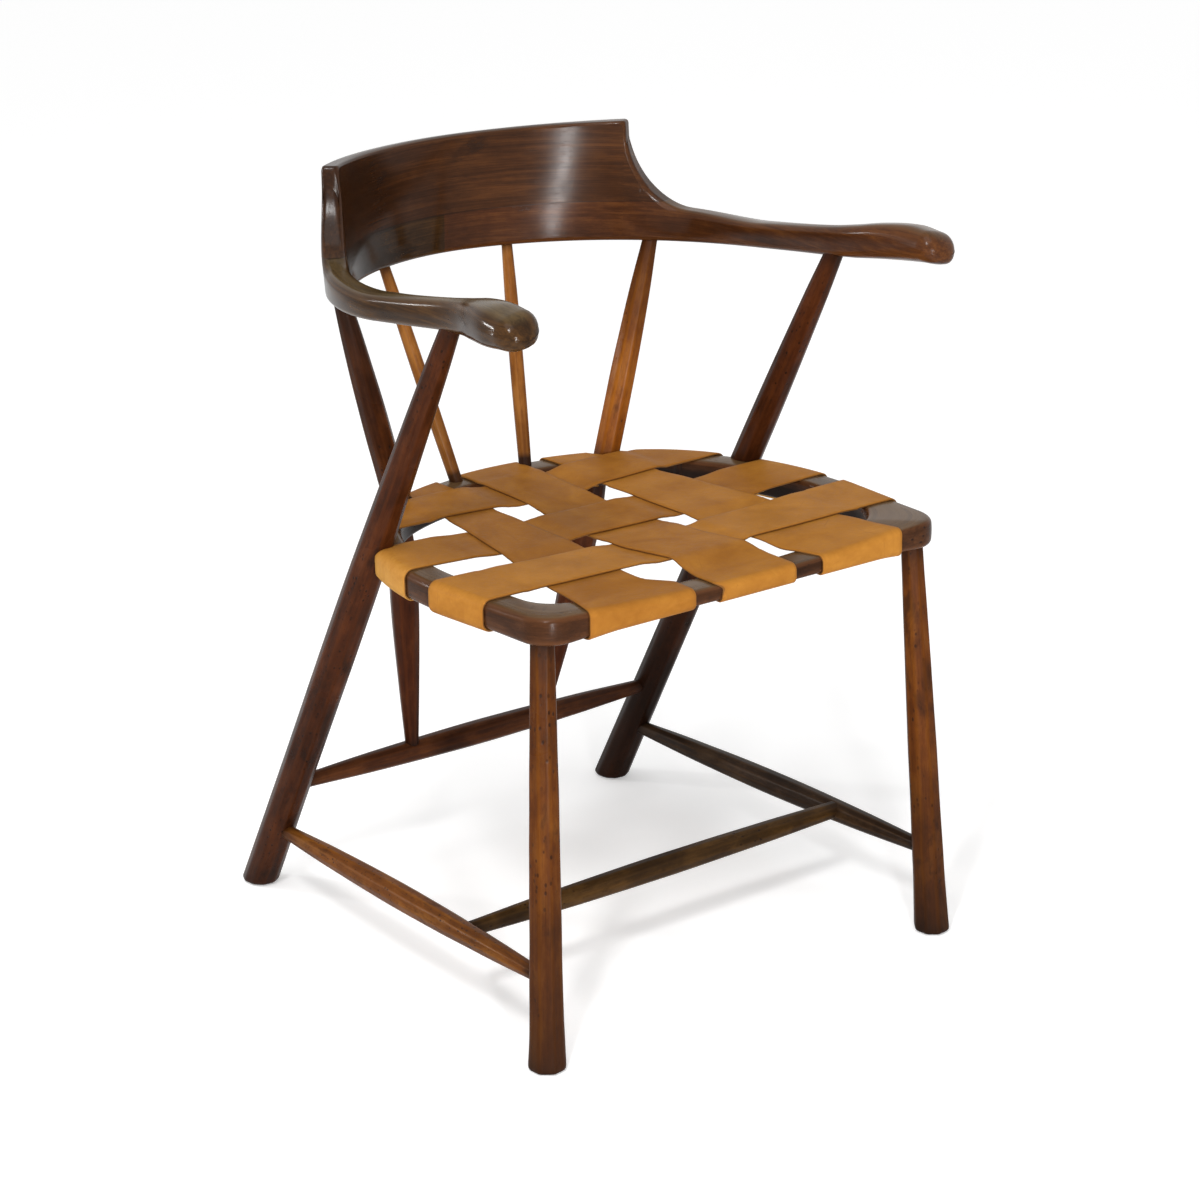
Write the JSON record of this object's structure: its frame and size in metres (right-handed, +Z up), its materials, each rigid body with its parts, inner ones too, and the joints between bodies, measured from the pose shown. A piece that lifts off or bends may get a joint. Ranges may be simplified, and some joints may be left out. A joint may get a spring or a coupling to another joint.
{
  "type": "captain's chair",
  "caption": "Low-backed captain's chair: carved bow arms and curved crest on shaved sticks, woven wide leather strap seat on a curved wooden frame.",
  "frame": {"origin": "on the floor, in the middle of the chair's footprint", "axes": "+Z up; the front of the chair faces -Y; +X is the sitter's left"},
  "size_m": [0.505, 0.5228, 0.7239],
  "materials": {
    "bow_wood": "semi-gloss dark walnut stain with worn edges",
    "front_leg_wood": "satin, reddish brown with darker flecks",
    "long_leg_wood": "satin, dark red-brown",
    "strut_wood": "satin, dark brown",
    "post_wood": "satin, honey brown darker at the top",
    "spindle_wood": "satin, honey orange with dark collars",
    "stretcher_wood": "satin, brown with dark patches",
    "rail_wood": "worn satin, grey-brown on the flat tops",
    "peg_wood": "matt",
    "tack_steel": "dull dark steel",
    "strap_leather": "smooth saddle leather, tan, with darker edges and faint stains"
  },
  "bodies": {
    "root": {"arm_right": "bow_wood", "arm_left": "bow_wood", "crest": "bow_wood", "front_leg_right": "front_leg_wood", "front_leg_left": "front_leg_wood", "rear_leg_right": "long_leg_wood", "rear_leg_left": "long_leg_wood", "lower_strut_right": "strut_wood", "lower_strut_left": "strut_wood", "back_post_right": "post_wood", "back_post_left": "post_wood", "spindle_right": "spindle_wood", "spindle_left": "spindle_wood", "side_stretcher_right": "stretcher_wood", "side_stretcher_left": "stretcher_wood", "cross_stretcher": "stretcher_wood", "rear_stretcher": "stretcher_wood", "front_rail": "rail_wood", "side_rail_right": "rail_wood", "side_rail_left": "rail_wood", "back_rail": "rail_wood", "rail_dowels": "peg_wood", "leg_pegs": "peg_wood", "strap_tacks": "tack_steel", "strap_side_front": "strap_leather", "strap_side_middle": "strap_leather", "strap_side_rear": "strap_leather", "strap_long_right": "strap_leather", "strap_long_middle": "strap_leather", "strap_long_left": "strap_leather"}
  },
  "joints": []
}
